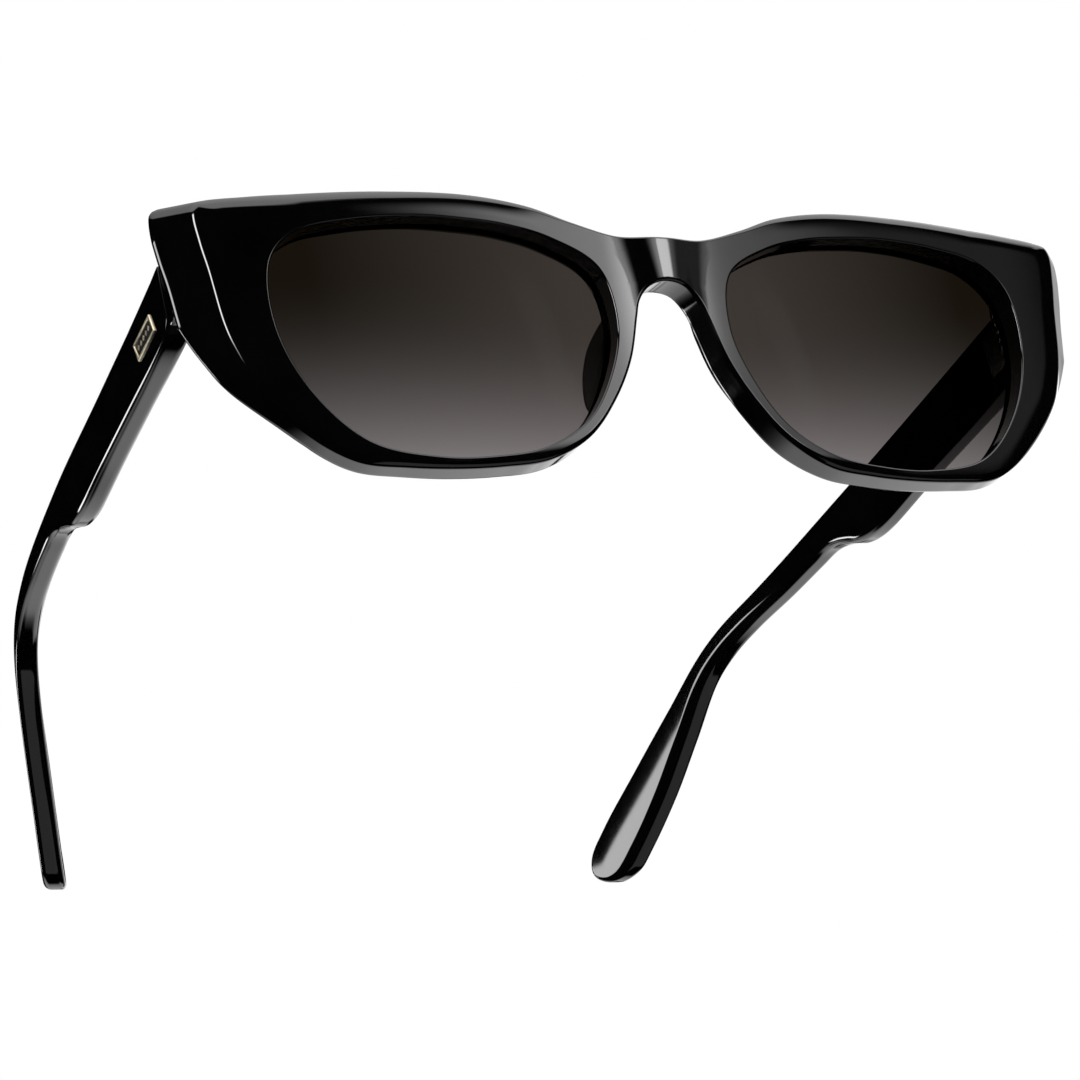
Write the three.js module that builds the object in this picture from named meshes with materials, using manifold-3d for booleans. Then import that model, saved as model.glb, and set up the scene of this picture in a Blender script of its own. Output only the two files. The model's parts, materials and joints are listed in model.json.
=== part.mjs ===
// Cat eye sunglasses: a thick acetate front with two tinted lenses, and two acetate temples that
// fold on five-barrel hinges. Millimetres, +Z up, +X towards the wearer's left, front facing -Y.
//
// Everything is drawn in the design frame: the front stands upright, x = 0 is the plane of
// symmetry, and the middle of the bridge's front face is near the origin. At the end the whole
// pair is tipped back a little, so that it lies on its rims and its temple tips.

import * as THREE from 'three';
import { mergeVertices } from 'three/addons/utils/BufferGeometryUtils.js';
import Module from 'manifold-3d';

const wasm = await Module();
wasm.setup();

// ---- driving dimensions --------------------------------------------------------------------

const GAP = 0.3;                    // clearance between neighbouring pieces

const WRAP = 0.00118;               // face-form curve of the front, y = WRAP * x^2
const RIM_DEPTH = 5.2;              // front-to-back depth of the rims and the bridge
const END_DEPTH = 6.0;              // the same at the end pieces, beyond the lenses
const RIDGE_HEIGHT = 0.66;          // how far the middle of the bridge stands forward
const RIDGE_FLAT = 0.9;             // half width of the ridge's crest
const RIDGE_FOOT = 7.2;             // half width of the ridge where it meets the rims
const FACET_WIDTH = 4.8;            // how far the outer facet spreads from its crease
const FACET_TOP = 2.0;             // the facet has its full width above this height
const FACET_END = -17.0;            // and has run out at this one
const FACET_FROM = 48;              // distances from the middle between which the facet opens
const FACET_FULL = 58;
const END_FROM = 58;                // and between which the end piece thickens
const END_FULL = 66;

const LENS_CENTRE = { x: 30.5, z: -2 };
const LENS_SET = 1.2;               // depth of the middle of the lens behind the front face
const LENS_THICKNESS = 1.6;
const LENS_RADIUS = 130;            // of its spherical curve
const LENS_OVERLAP = 0.55;          // how far the lens edge reaches into its groove

const PAD = { x: 9.0, z: -2.8, halfWidth: 1.6, depth: 5.0, halfHeight: 8.4, lean: 0.42,
  splay: THREE.MathUtils.degToRad(19) };

const TILT = THREE.MathUtils.degToRad(8.3);   // the temples' fall from the front's normal
const HINGE = { x: 64.8, y: 16.3, z: 9.4 };   // centre of the hinge axis
const BARREL_RADIUS = 1.2;
const BARREL_BORE = 0.8;
const BARREL_HEIGHT = 1.1;
const BARREL_COUNT = 5;
const LEAF_FACE = 1.35;             // from the hinge axis to the flat faces of the leaves
const LEAF_THICKNESS = 1.0;
const LEAF_HALF_HEIGHT = 3.4;
const FRONT_LEAF_LENGTH = 4.2;      // from the hinge axis
const TEMPLE_LEAF_LENGTH = 7.8;
const SCREW_RADIUS = 0.5;
const SCREW_HEAD = { radius: 1.1, height: 0.7, slot: 0.3 };

const LUG_LENGTH = 8.5;             // from the hinge axis forwards, well into the end piece
const LUG_FLARE = 0.7;              // extra width where the lug runs into the facet
const LUG_SHOULDER = 2.8;           // the flare has its full width up to here
const LUG_EASE = { x: 0.4, y: 1.2 };  // where it rounds in towards the temple
const LUG_RECESS = 4.6;             // length of the hinge recess in the lug
const TEMPLE_RECESS = 8.2;          // and in the temple

const TEMPLE_INNER_X = 66.4;        // inner face of the temple at the hinge
const TEMPLE_THICKNESS = 3.8;
const TEMPLE_HALF_HEIGHT = 5.2;
const TEMPLE_CHAMFER = 1.4;         // at the lower corner next to the lug

const CORE = { thickness: 1.0, height: 1.6, clearance: 0.3, from: 30, to: 118, end: -10.2 };

const EMBLEM = { length: 8.0, height: 3.4, slant: 1.0, thickness: 0.9, proud: 0.25, rim: 0.45 };
const EMBLEM_ALONG = 9.7;           // from the hinge axis to the middle of the emblem
const EMBLEM_DROP = 0.6;            // below the temple's mid-line
const EMBLEM_GAP = 0.2;
const INLAY_THICKNESS = 0.3;
const INLAY_SINK = 0.1;             // of the enamel below the emblem's raised rim
const INLAY_GAP = 0.1;

// ---- outlines ------------------------------------------------------------------------------

const xz = ([x, z]) => new THREE.Vector2(x, z);

// Right half of the front's outline (x, z), from the top of the bridge round to its arch.
const FRONT_TOP = [[0, 13.9], [7, 14.1], [13.5, 16.1], [20, 18.7], [28, 20.3], [40, 20.9],
  [54, 20.5], [67.2, 19.1]];
const FRONT_SIDE = [[68.7, 17.2], [67.6, 8.5], [66.4, 0], [63.9, -7.4], [59.4, -13.5],
  [54.3, -18.3], [49.5, -20.8], [43, -21.6], [36, -21.9], [29, -21.6], [22.3, -20.6],
  [15.9, -17.2], [11.2, -11.7], [7.6, -5.2], [5.5, 1.6], [3.8, 5.4], [0, 7.0]];

// Edge of the right lens opening (x, z), anticlockwise from its outer side.
const OPENING = [[59.3, 0], [58.6, 10.1], [54.3, 14.2], [46.4, 15.9], [37.3, 16.4], [30.5, 16.0],
  [24.2, 15.2], [17.3, 13.2], [10.6, 8.8], [9.1, 0], [11.5, -7.9], [15.9, -14.6], [22.7, -18.8],
  [30.5, -20.2], [38.8, -20.2], [48.3, -17.8], [55.4, -10.3]];

// Side view of the temple (y, z): its upper edge from the hinge to the tip, then its lower edge
// back again, with the step where the deep front part becomes the slim ear part.
const TEMPLE_TOP = [[25, 13.3], [50, 9.2], [74, 5.4], [98, 0.9], [109, -1.8], [115.5, -5.0],
  [123.4, -11.4], [131.3, -18.2], [139.5, -25.4]];
const TEMPLE_TIP = [[143.2, -29.8], [143.4, -32.8], [140.8, -34.9], [137.2, -34.4]];
const TEMPLE_EAR = [[133.6, -31.4], [127.2, -24.6], [121.2, -16.8], [115.1, -9.2], [110.0, -6.1],
  [103, -4.0], [92, -2.2], [79.5, -0.4]];
const TEMPLE_STEP = [[75.5, -0.2], [71.5, -0.8], [68.5, -2.1], [66.0, -3.3], [63.0, -3.2]];
const TEMPLE_ROOT = [[50, -1.2], [21, 3.0]];

// Side view of the middle of the core wire (y, z), short of its end.
const CORE_LINE = [[10, 9.4], [50, 4.6], [66, 2.4], [80, 1.9], [98, -0.9], [109, -3.8]];

// Plan view of the temple's inner face (y, x): straight at first, then bowed inwards to the ear.
const TEMPLE_START = [8, 66.9];
const TEMPLE_BOW = [[48, 65.1], [74, 63.8], [98, 61.5], [115, 57.8], [131, 51.7], [150, 44.0]];

// ---- helpers -------------------------------------------------------------------------------

function clamp01(t) {
  return Math.min(Math.max(t, 0), 1);
}

// A closed three.js geometry as a manifold solid.
function solid(geometry) {
  const bare = geometry.clone();
  bare.deleteAttribute('normal');
  bare.deleteAttribute('uv');
  const merged = mergeVertices(bare, 1e-4);
  return new wasm.Manifold(new wasm.Mesh({
    numProp: 3,
    vertProperties: new Float32Array(merged.attributes.position.array),
    triVerts: new Uint32Array(merged.index.array),
  }));
}

// A manifold solid back as a three.js geometry.
function geometryOf(body) {
  const mesh = body.getMesh();
  const geometry = new THREE.BufferGeometry();
  geometry.setAttribute('position', new THREE.BufferAttribute(mesh.vertProperties, 3));
  geometry.setIndex(new THREE.BufferAttribute(mesh.triVerts, 1));
  geometry.computeVertexNormals();
  return geometry;
}

// A mirrored copy in the plane x = 0, with its faces turned the right way again.
function mirrored(geometry) {
  const copy = geometry.clone();
  copy.scale(-1, 1, 1);
  const index = copy.index.array;
  for (let i = 0; i < index.length; i += 3) {
    [index[i], index[i + 1]] = [index[i + 1], index[i]];
  }
  copy.computeVertexNormals();
  return copy;
}

function spline(points, divisions) {
  return new THREE.SplineCurve(points.map(xz)).getPoints(divisions);
}

function closedSpline(points, divisions) {
  const knots = points.map(([x, z]) => new THREE.Vector3(x, z, 0));
  const curve = new THREE.CatmullRomCurve3(knots, true, 'centripetal');
  return curve.getPoints(divisions).slice(0, -1).map((p) => new THREE.Vector2(p.x, p.y));
}

// A loop of points moved outwards by a distance, along the loop's own normals.
function grown(loop, distance) {
  return loop.map((p, i) => {
    const before = loop[(i + loop.length - 1) % loop.length];
    const after = loop[(i + 1) % loop.length];
    const along = after.clone().sub(before).normalize();
    return new THREE.Vector2(p.x + along.y * distance, p.y - along.x * distance);
  });
}

// A prism of a front-view (x, z) loop, from y = from to y = to.
function frontPrism(loop, from, to, steps = 1) {
  const geometry = new THREE.ExtrudeGeometry(new THREE.Shape(loop),
    { depth: to - from, steps, bevelEnabled: false });
  geometry.rotateX(Math.PI / 2);
  return geometry.translate(0, to, 0);
}

// A prism of a side-view (y, z) loop, from x = from to x = to.
function sidePrism(loop, from, to) {
  const geometry = new THREE.ExtrudeGeometry(new THREE.Shape(loop),
    { depth: to - from, bevelEnabled: false });
  geometry.rotateX(Math.PI / 2);
  geometry.rotateZ(Math.PI / 2);
  return geometry.translate(from, 0, 0);
}

// A prism of a plan-view (x, y) loop, from z = from to z = to.
function planPrism(loop, from, to) {
  const geometry = new THREE.ExtrudeGeometry(new THREE.Shape(loop),
    { depth: to - from, bevelEnabled: false });
  return geometry.translate(0, 0, from);
}

function block(x0, x1, y0, y1, z0, z1) {
  const geometry = new THREE.BoxGeometry(x1 - x0, y1 - y0, z1 - z0);
  return geometry.translate((x0 + x1) / 2, (y0 + y1) / 2, (z0 + z1) / 2);
}

// Geometry drawn about the hinge axis (axis up, temple along +Y), put in its place on the front.
function atHinge(geometry) {
  geometry.rotateX(-TILT);
  return geometry.translate(HINGE.x, HINGE.y, HINGE.z);
}

// ---- front ---------------------------------------------------------------------------------

function wrapY(x) {
  return WRAP * x * x;
}

function frontY(x) {
  const t = clamp01((RIDGE_FOOT - Math.abs(x)) / (RIDGE_FOOT - RIDGE_FLAT));
  return wrapY(x) - RIDGE_HEIGHT * t * t * (3 - 2 * t);
}

function backY(x) {
  const t = clamp01((Math.abs(x) - END_FROM) / (END_FULL - END_FROM));
  return wrapY(x) + RIM_DEPTH + (END_DEPTH - RIM_DEPTH) * t;
}

// A slab between two curves y = near(x) and y = far(x).
function slab(near, far, reach, step) {
  const count = Math.round((2 * reach) / step);
  const xs = Array.from({ length: count + 1 }, (_, i) => -reach + (2 * reach * i) / count);
  const loop = xs.map((x) => new THREE.Vector2(x, near(x)));
  loop.push(...xs.reverse().map((x) => new THREE.Vector2(x, far(x))));
  return solid(planPrism(loop, -40, 40));
}

function frontOutline() {
  const half = [...spline(FRONT_TOP, 24), ...spline(FRONT_SIDE, 50)];
  const other = half.slice(1, -1).reverse().map((p) => new THREE.Vector2(-p.x, p.y));
  return [...half, ...other].reverse();
}

// How far the wall stands out from its crease, for each millimetre of depth.
function facetSlope(x, z) {
  const down = clamp01((z - FACET_END) / (FACET_TOP - FACET_END));
  const out = clamp01((Math.abs(x) - FACET_FROM) / (FACET_FULL - FACET_FROM));
  return (FACET_WIDTH * down * out) / END_DEPTH;
}

// The front's outline as a prism whose side walls lean outwards: the facets of the end pieces.
function facetedPrism() {
  const geometry = frontPrism(frontOutline(), -2, 14, 5);
  const position = geometry.attributes.position;
  for (let i = 0; i < position.count; i += 1) {
    const x = position.getX(i);
    const depth = position.getY(i) - wrapY(x);
    const spread = facetSlope(x, position.getZ(i)) * depth;
    position.setX(i, x + Math.sign(x) * spread);
  }
  return solid(geometry);
}

function lensOpening(side) {
  const loop = closedSpline(OPENING, 60);
  return side > 0 ? loop : loop.map((p) => new THREE.Vector2(-p.x, p.y)).reverse();
}

function openingPrism(side, growth) {
  return solid(frontPrism(grown(lensOpening(side), growth), -4, 20));
}

// Front surface of a lens: a sphere that is leant to follow the wrap of the front.
function lensY(x, z) {
  const across = x - LENS_CENTRE.x;
  const up = z - LENS_CENTRE.z;
  const wrap = wrapY(LENS_CENTRE.x) + 2 * WRAP * LENS_CENTRE.x * across;
  return wrap + LENS_SET + (across * across + up * up) / (2 * LENS_RADIUS);
}

// A lens-shaped shell between two distances behind that surface, cut to the opening's outline.
function lensPlate(side, growth, near, far) {
  const profile = [0, 10, 18, 25, 34].map((radius) => new THREE.Vector2(radius, 0));
  const back = profile.slice().reverse().map((p) => new THREE.Vector2(p.x, 1));
  const geometry = new THREE.LatheGeometry([...profile, ...back], 40);
  geometry.translate(LENS_CENTRE.x, 0, LENS_CENTRE.z);
  const position = geometry.attributes.position;
  for (let i = 0; i < position.count; i += 1) {
    const offset = position.getY(i) > 0.5 ? far : near;
    position.setY(i, lensY(position.getX(i), position.getZ(i)) + offset);
  }
  const shell = side > 0 ? geometry : mirrored(geometry);
  return solid(shell).intersect(openingPrism(side, growth));
}

// The lug behind each end piece, which carries the hinge and meets the end of the temple.
function lug() {
  const top = TEMPLE_HALF_HEIGHT;
  const inner = TEMPLE_INNER_X - HINGE.x;
  const outer = inner + TEMPLE_THICKNESS;
  const flared = outer + LUG_FLARE;
  const loop = [[inner, -LUG_LENGTH], [flared, -LUG_LENGTH], [flared, -LUG_SHOULDER],
    [outer + LUG_EASE.x, -LUG_EASE.y], [outer, -GAP], [inner, -GAP]].map(xz);
  return solid(atHinge(planPrism(loop, -top, top)));
}

// The recess for a hinge leaf, in the inner face of a lug or a temple.
function leafRecess(from, to) {
  const half = LEAF_HALF_HEIGHT + GAP;
  const floor = LEAF_FACE + LEAF_THICKNESS + GAP;
  return solid(atHinge(block(0, floor, from, to, -half, half)));
}

function frontFrame() {
  let body = facetedPrism().intersect(slab(frontY, backY, 80, 2));
  for (const side of [1, -1]) {
    body = body.subtract(openingPrism(side, 0));
    body = body.subtract(lensPlate(side, LENS_OVERLAP + GAP, -GAP, LENS_THICKNESS + GAP));
  }
  const rightLug = lug().subtract(leafRecess(-LUG_RECESS, 1));
  body = body.add(rightLug).add(solid(mirrored(geometryOf(rightLug))));
  return geometryOf(body);
}

function lens(side) {
  return geometryOf(lensPlate(side, LENS_OVERLAP, 0, LENS_THICKNESS));
}

// A leaning fin behind the nose side of the rim, which the nose rests against.
function nosePad() {
  const geometry = new THREE.SphereGeometry(1, 20, 14);
  geometry.scale(PAD.halfWidth, PAD.depth, PAD.halfHeight);
  geometry.rotateY(-PAD.splay);
  geometry.translate(PAD.x, RIM_DEPTH - 0.5, PAD.z);
  const position = geometry.attributes.position;
  for (let i = 0; i < position.count; i += 1) {
    const lean = PAD.lean * (position.getY(i) - RIM_DEPTH);
    position.setX(i, position.getX(i) + lean);
  }
  const behind = slab((x) => wrapY(x) + RIM_DEPTH + GAP, (x) => wrapY(x) + 20, 30, 2);
  return geometryOf(solid(geometry).intersect(behind));
}

// ---- temple --------------------------------------------------------------------------------

// A point of the side view, given along and across the temple from the hinge axis.
function fromHinge(along, across) {
  return [
    HINGE.y + along * Math.cos(TILT) + across * Math.sin(TILT),
    HINGE.z - along * Math.sin(TILT) + across * Math.cos(TILT),
  ];
}

function templeOutline() {
  const top = TEMPLE_HALF_HEIGHT;
  return [
    ...spline([fromHinge(GAP, top), ...TEMPLE_TOP, ...TEMPLE_TIP, ...TEMPLE_EAR, ...TEMPLE_STEP,
      ...TEMPLE_ROOT, fromHinge(GAP + TEMPLE_CHAMFER, -top)], 130),
    xz(fromHinge(GAP, -top + TEMPLE_CHAMFER)),
  ].reverse();
}

// A slab that follows the temple's bow, between two distances from its inner face.
function bowSlab(from, to) {
  const bow = [xz(TEMPLE_START), ...spline(TEMPLE_BOW, 32)];
  const inner = bow.map((p) => new THREE.Vector2(p.y, p.x));
  const near = inner.map((p) => new THREE.Vector2(p.x + from, p.y));
  const far = inner.map((p) => new THREE.Vector2(p.x + to, p.y)).reverse();
  return solid(planPrism([...far, ...near], -60, 40));
}

// The strip of the core wire in side view, or its bore when it is grown by the clearance. The
// bore starts at the front end of the temple, where the wire goes in.
function coreOutline(growth) {
  const half = CORE.height / 2 + growth;
  const middle = [...CORE_LINE, [CORE.to + growth, CORE.end]];
  const upper = spline(middle.map(([y, z]) => [y, z + half]), 30);
  const lower = spline(middle.map(([y, z]) => [y, z - half]), 30).reverse();
  return [...upper, ...lower].reverse();
}

function coreBody(growth) {
  const middle = TEMPLE_THICKNESS / 2;
  const half = CORE.thickness / 2 + growth;
  return solid(sidePrism(coreOutline(growth), 30, 90))
    .intersect(bowSlab(middle - half, middle + half));
}

function coreWire() {
  return geometryOf(coreBody(0).intersect(solid(block(30, 90, CORE.from, 200, -60, 40))));
}

// Emblem outline on the temple's outer face, drawn along and across the temple.
function emblemLoop(inset) {
  const half = EMBLEM.length / 2 - inset;
  const rise = EMBLEM.height / 2 - inset;
  const lean = EMBLEM.slant / 2;
  const corners = [[-half - lean, -rise], [half - lean, -rise], [half + lean, rise],
    [-half + lean, rise]];
  return corners.map(([along, across]) => {
    const [y, z] = fromHinge(EMBLEM_ALONG + along, across - EMBLEM_DROP);
    return new THREE.Vector2(y, z);
  });
}

// The emblem's outline as a plate between two distances from the temple's inner face.
function emblemSlab(inset, from, to) {
  return solid(sidePrism(emblemLoop(inset), 30, 90)).intersect(bowSlab(from, to));
}

const EMBLEM_BASE = TEMPLE_THICKNESS + EMBLEM.proud - EMBLEM.thickness;
const INLAY_BASE = EMBLEM_BASE + EMBLEM.thickness - INLAY_THICKNESS - INLAY_SINK;

function emblemPlate() {
  const plate = emblemSlab(0, EMBLEM_BASE, EMBLEM_BASE + EMBLEM.thickness);
  return geometryOf(plate.subtract(emblemSlab(EMBLEM.rim, INLAY_BASE - INLAY_GAP, 9)));
}

function emblemInlay() {
  const inset = EMBLEM.rim + INLAY_GAP;
  return geometryOf(emblemSlab(inset, INLAY_BASE, INLAY_BASE + INLAY_THICKNESS));
}

function temple() {
  const plate = solid(sidePrism(templeOutline(), 30, 90)).intersect(bowSlab(0, TEMPLE_THICKNESS));
  const body = plate
    .subtract(leafRecess(-1, TEMPLE_RECESS))
    .subtract(coreBody(CORE.clearance))
    .subtract(emblemSlab(-EMBLEM_GAP, EMBLEM_BASE - EMBLEM_GAP, 9));
  return geometryOf(body);
}

// ---- hinge ---------------------------------------------------------------------------------

function barrelMiddle(i) {
  return (i - (BARREL_COUNT - 1) / 2) * (BARREL_HEIGHT + GAP);
}

// One leaf: a flat plate in its recess, and a bored barrel on a short arm for each given level.
// Behind is +1 for the leaf of the temple, and -1 for the leaf of the front.
function hingeLeaf(levels, behind, start, end) {
  const back = LEAF_FACE + LEAF_THICKNESS;
  const ys = [start * behind, end * behind].sort((a, b) => a - b);
  const half = LEAF_HALF_HEIGHT;
  let body = solid(block(LEAF_FACE, back, ys[0], ys[1], -half, half));
  for (const level of levels) {
    const z = barrelMiddle(level);
    const barrel = new THREE.CylinderGeometry(BARREL_RADIUS, BARREL_RADIUS, BARREL_HEIGHT, 20);
    barrel.rotateX(Math.PI / 2);
    barrel.translate(0, 0, z);
    const armY = [GAP * behind, (start + 0.9) * behind].sort((a, b) => a - b);
    const top = z + BARREL_HEIGHT / 2;
    const arm = block(0, back, armY[0], armY[1], top - BARREL_HEIGHT, top);
    body = body.add(solid(barrel)).add(solid(arm));
  }
  const bore = new THREE.CylinderGeometry(BARREL_BORE, BARREL_BORE, 20, 16);
  bore.rotateX(Math.PI / 2);
  return geometryOf(solid(atHinge(geometryOf(body.subtract(solid(bore))))));
}

function hingeScrew() {
  const reach = barrelMiddle(BARREL_COUNT - 1) + BARREL_HEIGHT / 2;
  const { radius, height, slot } = SCREW_HEAD;
  const seat = reach + GAP;
  const profile = [[0, -reach], [SCREW_RADIUS, -reach], [SCREW_RADIUS, seat], [radius, seat],
    [radius, seat + height * 0.6], [radius * 0.8, seat + height], [0, seat + height]];
  const turned = new THREE.LatheGeometry(profile.map(xz), 20);
  turned.rotateX(Math.PI / 2);
  const cut = block(-radius - 1, radius + 1, -slot / 2, slot / 2, seat + height * 0.45, seat + 2);
  const body = solid(turned).subtract(solid(cut));
  return atHinge(geometryOf(body));
}

// ---- assembly ------------------------------------------------------------------------------

const acetate = () => new THREE.MeshStandardMaterial({ color: 0x0a0a0b, roughness: 0.08 });
const tint = () => new THREE.MeshStandardMaterial({ color: 0x3a332e, roughness: 0.03 });
const steel = () => new THREE.MeshStandardMaterial({ color: 0xb9babd, roughness: 0.28, metalness: 1 });
const gold = () => new THREE.MeshStandardMaterial({ color: 0xcdb98a, roughness: 0.25, metalness: 1 });
const enamel = () => new THREE.MeshStandardMaterial({ color: 0x0c0b0b, roughness: 0.2 });

const glasses = new THREE.Group();

function addPiece(name, geometry, material) {
  const mesh = new THREE.Mesh(geometry, material);
  mesh.name = name;
  glasses.add(mesh);
}

// A piece for the wearer's left (+X), and its mirror image for the right.
function addPair(name, geometry, material) {
  addPiece(`${name}_left`, geometry, material());
  addPiece(`${name}_right`, mirrored(geometry), material());
}

addPiece('front_frame', frontFrame(), acetate());
addPair('lens', lens(1), tint);
addPair('nose_pad', nosePad(), acetate);
addPair('temple', temple(), acetate);
addPair('core_wire', coreWire(), steel);
addPair('hinge_front_leaf', hingeLeaf([0, 2, 4], -1, GAP, FRONT_LEAF_LENGTH), steel);
addPair('hinge_temple_leaf', hingeLeaf([1, 3], 1, GAP, TEMPLE_LEAF_LENGTH), steel);
addPair('hinge_screw', hingeScrew(), steel);
addPair('emblem_plate', emblemPlate(), gold);
addPair('emblem_inlay', emblemInlay(), enamel);

// Tip the pair about X until the rims and the temple tips stand on one plane, then put the
// middle of its footprint on the origin.
const RIM_REST = { y: wrapY(36), z: -21.9 };
const TIP_REST = { y: 141.0, z: -35.1 };
glasses.rotation.x = Math.atan2(RIM_REST.z - TIP_REST.z, TIP_REST.y - RIM_REST.y);
glasses.updateMatrixWorld(true);
const box = new THREE.Box3().setFromObject(glasses, true);
glasses.position.set(0, -(box.min.y + box.max.y) / 2, -box.min.z);
glasses.updateMatrixWorld(true);

export default glasses;
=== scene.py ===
"""Looks of the cat eye sunglasses. Shapes are drawn in the design frame of the part, in
millimetres: front upright, x = 0 the plane of symmetry, looking towards -Y. REST then lays the
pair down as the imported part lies, in metres."""

import json
import math

import bmesh
import bpy
import numpy as np
from mathutils import Matrix, Vector

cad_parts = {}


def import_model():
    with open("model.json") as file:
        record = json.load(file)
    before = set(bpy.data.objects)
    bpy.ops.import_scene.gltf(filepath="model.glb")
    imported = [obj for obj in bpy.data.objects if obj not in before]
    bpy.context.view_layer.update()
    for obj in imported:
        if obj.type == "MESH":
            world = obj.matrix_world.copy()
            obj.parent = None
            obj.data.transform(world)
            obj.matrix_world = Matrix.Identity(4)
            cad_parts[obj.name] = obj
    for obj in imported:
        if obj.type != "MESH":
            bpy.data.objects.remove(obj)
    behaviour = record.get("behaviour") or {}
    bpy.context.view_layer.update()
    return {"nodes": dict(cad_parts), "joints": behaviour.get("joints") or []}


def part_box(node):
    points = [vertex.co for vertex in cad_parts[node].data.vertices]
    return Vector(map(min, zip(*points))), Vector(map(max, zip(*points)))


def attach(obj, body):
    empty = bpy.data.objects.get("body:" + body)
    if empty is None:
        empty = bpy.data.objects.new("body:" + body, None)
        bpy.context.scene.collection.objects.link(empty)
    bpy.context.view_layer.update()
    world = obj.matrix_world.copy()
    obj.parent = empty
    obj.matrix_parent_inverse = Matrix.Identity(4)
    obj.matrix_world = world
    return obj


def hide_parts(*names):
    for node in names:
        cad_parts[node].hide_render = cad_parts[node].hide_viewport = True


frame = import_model()

# ---- driving dimensions, in millimetres ----------------------------------------------------

WRAP = 0.00118              # face-form curve of the front, y = WRAP * x^2
RIM_DEPTH = 5.2
END_DEPTH = 6.0
END_FROM, END_FULL = 58, 66
RIDGE_HEIGHT = 0.66         # the middle of the bridge stands forward of its sides
RIDGE_FLAT = 0.9
RIDGE_FOOT = 7.2
FACET_WIDTH = 4.8
FACET_TOP, FACET_END = 2.0, -17.0
CORNER_RISE = 0.21          # how much the top flares up behind the outer corner, per mm of depth
ARCH_RISE = 0.10            # the same for the arch of the bridge
PILLOW = 0.16               # softening of the front face towards its outer edge
PILLOW_WIDTH = 2.4
PILLOW_FROM, PILLOW_FULL = 14, 24
FACET_FROM, FACET_FULL = 48, 58

LENS_CENTRE = (30.5, -2.0)
LENS_SET = 1.2
LENS_THICKNESS = 1.6
LENS_RADIUS = 130
LENS_OVERLAP = 0.5
SEAT_SLACK = 0.05           # air between a lens and its groove

TILT = math.radians(8.3)
HINGE = Vector((64.8, 16.3, 9.4))
GAP = 0.3

TEMPLE_INNER_X = 66.4       # inner face of the temple and the lug at the hinge
TEMPLE_THICKNESS = 3.8
TEMPLE_HALF_HEIGHT = 5.2

# Half of the front's outline (x, z), from the top of the bridge round to the top of its arch.
OUTLINE = [(0, 13.9), (7, 14.1), (13.5, 16.1), (20, 18.7), (28, 20.3), (40, 20.9), (54, 20.5),
           (66.2, 19.2), (68.1, 18.6), (68.7, 17.2), (68.3, 12.6), (67.6, 8.5), (66.4, 0),
           (65.3, -4), (63.9, -7.4), (59.4, -13.5), (54.3, -18.3), (49.5, -20.8), (43, -21.6),
           (36, -21.9), (29, -21.6), (22.3, -20.6), (15.9, -17.2), (11.2, -11.7), (7.6, -5.2),
           (5.5, 1.6), (4.8, 3.9), (3.8, 5.4), (2.4, 6.5), (0, 7.0)]

# Edge of the lens opening (x, z), clockwise from the top of its nose side.
OPENING = [(10.6, 8.8), (17.3, 13.2), (24.2, 15.2), (30.5, 16.0), (37.3, 16.4), (46.4, 15.9),
           (54.3, 14.2), (58.6, 10.1), (59.3, 0), (55.4, -10.3), (48.3, -17.8), (38.8, -20.2),
           (30.5, -20.2), (22.7, -18.8), (15.9, -14.6), (11.5, -7.9), (9.1, 0)]

# Points of the outline and of the opening that face each other, with the radii of the front
# edge and of the back edge there.
SPOKES = [((0, 13.9), (12, 10.2), 0.35, 0.8), ((10, 14.7), (15, 12.0), 0.45, 0.8),
          ((20, 18.7), (20.1, 14.1), 1.0, 0.9), ((40, 20.9), (40, 16.4), 1.7, 1.0),
          ((54, 20.5), (52, 15), 1.9, 1.0), ((66.2, 19.2), (56.4, 13), 1.0, 1.2),
          ((68.7, 17.2), (58.2, 11), 0.4, 1.7), ((67.4, 7), (59.4, 5), 0.3, 1.8),
          ((66, -1.5), (59.3, -1.3), 0.35, 1.8), ((61, -11.7), (56.5, -8.5), 0.9, 1.8),
          ((53, -19.2), (51.5, -15.5), 1.0, 1.6), ((37, -21.9), (37, -20.2), 0.8, 1.0),
          ((22.3, -20.6), (23.5, -19.1), 0.8, 0.8), ((12.9, -14), (14.5, -13), 0.5, 0.7),
          ((7.6, -5.2), (10, -4), 0.5, 0.6), ((4.9, 3.4), (9, 2.5), 0.5, 0.6),
          ((0, 7.0), (9.2, 6.4), 0.6, 0.8)]
BRIDGE_ROWS = 20
FACE_ROWS = 26
OPENING_EDGE = 0.3          # radius of the front edge of the opening
OPENING_BACK = 0.8

# Side view of the temple (y, z).
TEMPLE_TOP = [(25, 13.3), (50, 9.2), (74, 5.4), (98, 0.9), (109, -1.8), (115.5, -5.0),
              (123.4, -11.4), (131.3, -18.2), (139.5, -25.4)]
TEMPLE_TIP = [(143.2, -29.8), (143.4, -32.8), (140.8, -34.9), (137.2, -34.4)]
TEMPLE_EAR = [(133.6, -31.4), (127.2, -24.6), (121.2, -16.8), (115.1, -9.2), (110.0, -6.1),
              (103, -4.0), (92, -2.3), (83.5, -1.1)]
TEMPLE_STEP = [(78.5, -0.5), (75.0, -0.9), (71.8, -1.9), (69.0, -2.9), (66.0, -3.3), (62.5, -3.2)]
TEMPLE_ROOT = [(50, -1.2), (21, 3.0)]
TEMPLE_BOW = [(8, 66.9), (48, 65.1), (74, 63.8), (98, 61.5), (115, 57.8), (131, 51.7),
              (150, 44.0)]
TEMPLE_MIDDLE = [(105, -3.3), (113.5, -7.0), (121, -13.0), (129.3, -21.4), (137, -28.8),
                 (141, -33.0)]
TIP_CROWN = 0.007           # rounding of the tip's inner face, mm for each mm squared
TEMPLE_CHAMFER = 1.4

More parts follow.
